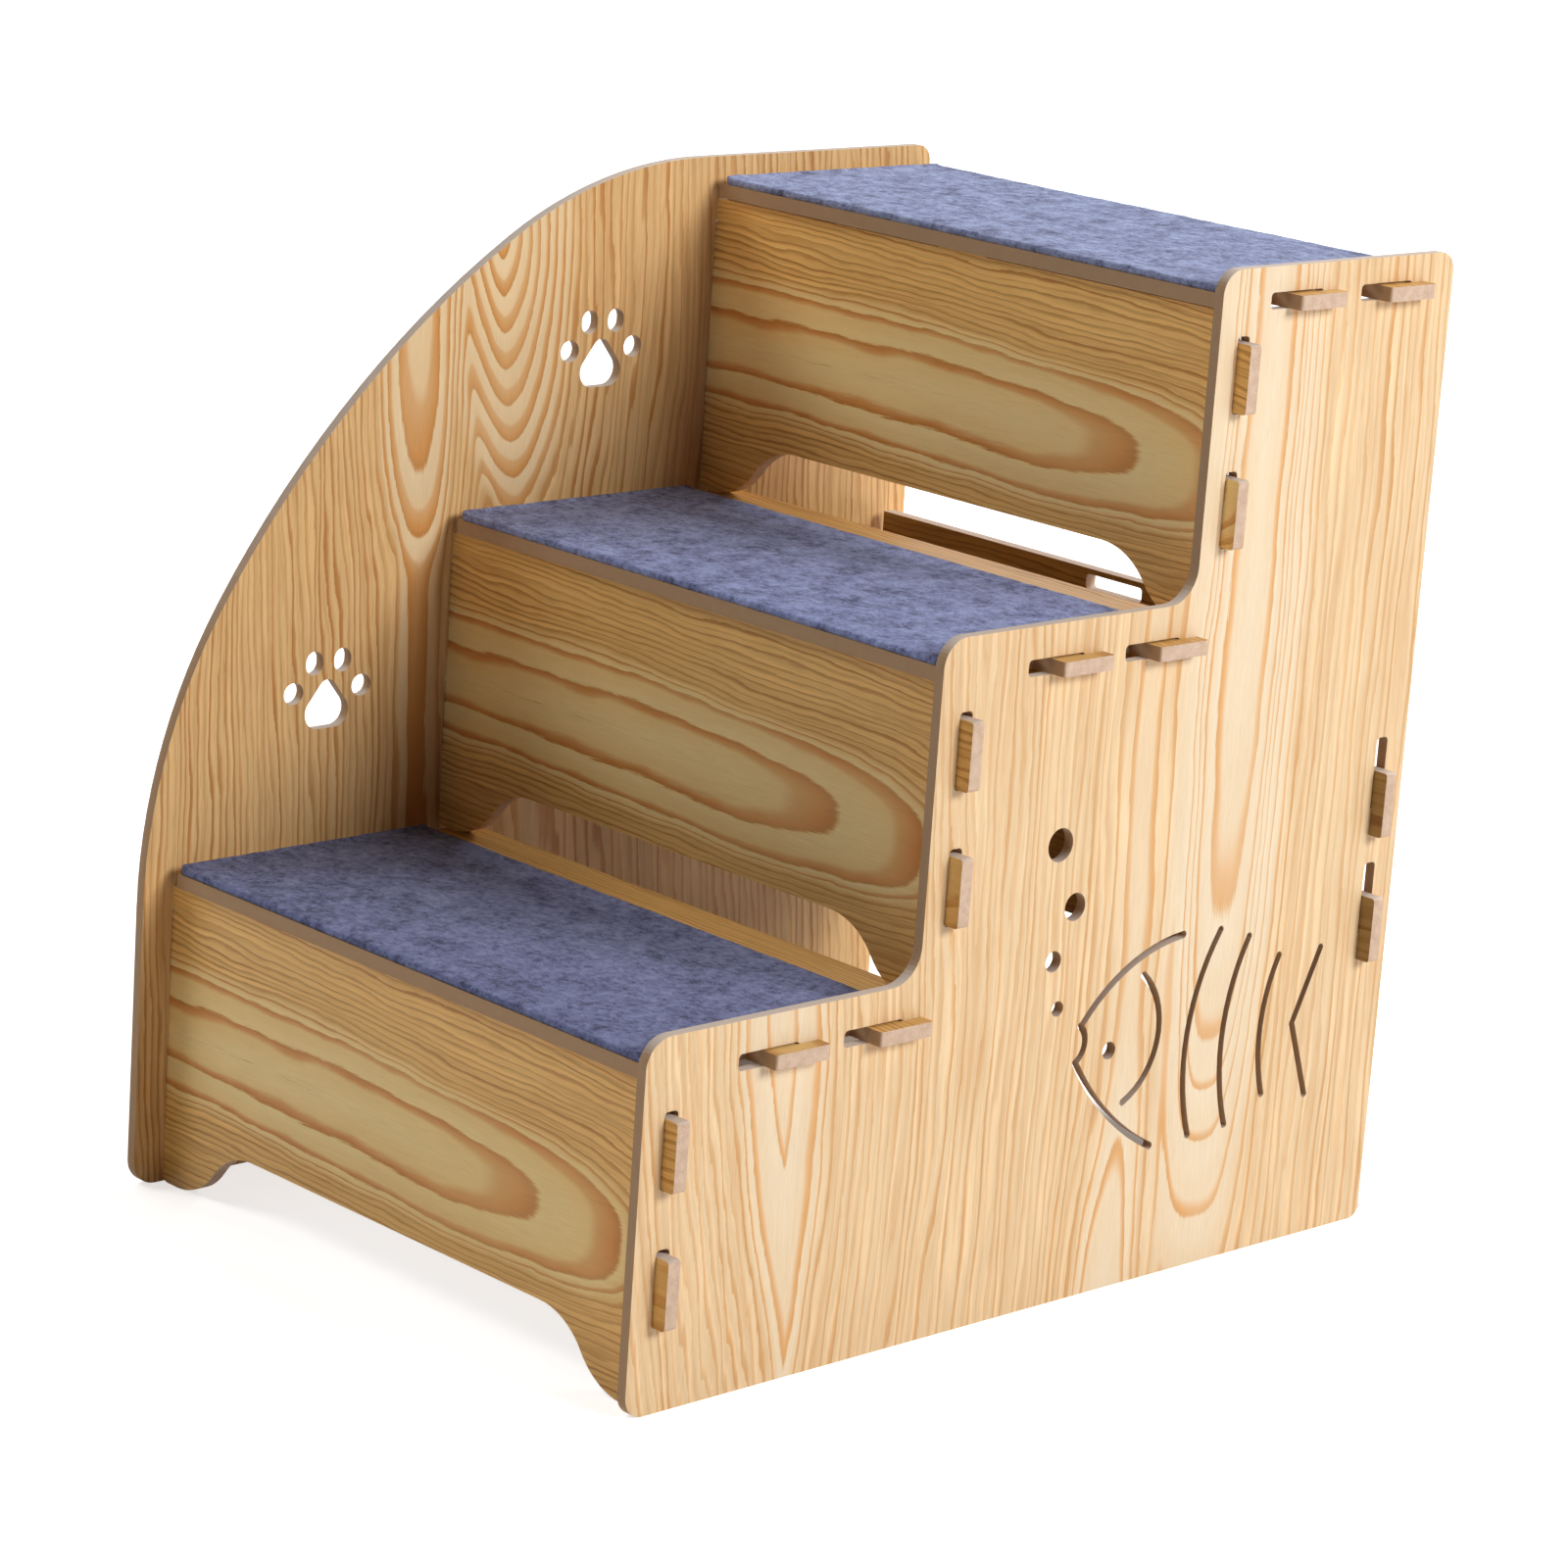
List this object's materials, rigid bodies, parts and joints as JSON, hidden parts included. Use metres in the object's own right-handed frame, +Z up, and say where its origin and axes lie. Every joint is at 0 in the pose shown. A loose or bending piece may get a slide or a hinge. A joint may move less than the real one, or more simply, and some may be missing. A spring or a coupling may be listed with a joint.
{
  "type": "pet stairs",
  "caption": "Small indoor stairs for cats and dogs: flat wooden boards hooked together, felt treads, a tall curved guard on one side and a stepped panel on the other.",
  "frame": {"origin": "on the floor, under the middle of the whole object's box", "axes": "+Z up, front (first step) towards -Y, stepped side panel at +X, guard panel at -X"},
  "size_m": [0.35, 0.4544, 0.45],
  "materials": {
    "side_board": "satin wood-grain laminate, raw brown edges",
    "step_board": "satin wood-grain laminate, raw brown edges",
    "felt": "matte needle felt, blue-grey"
  },
  "bodies": {
    "root": {"left_side_panel": "side_board", "right_side_panel": "side_board", "riser_1": "step_board", "riser_2": "step_board", "riser_3": "step_board", "tread_1": "step_board", "tread_2": "step_board", "top_tread": "step_board", "back_board": "step_board", "mat_1": "felt", "mat_2": "felt", "mat_3": "felt"}
  },
  "joints": []
}
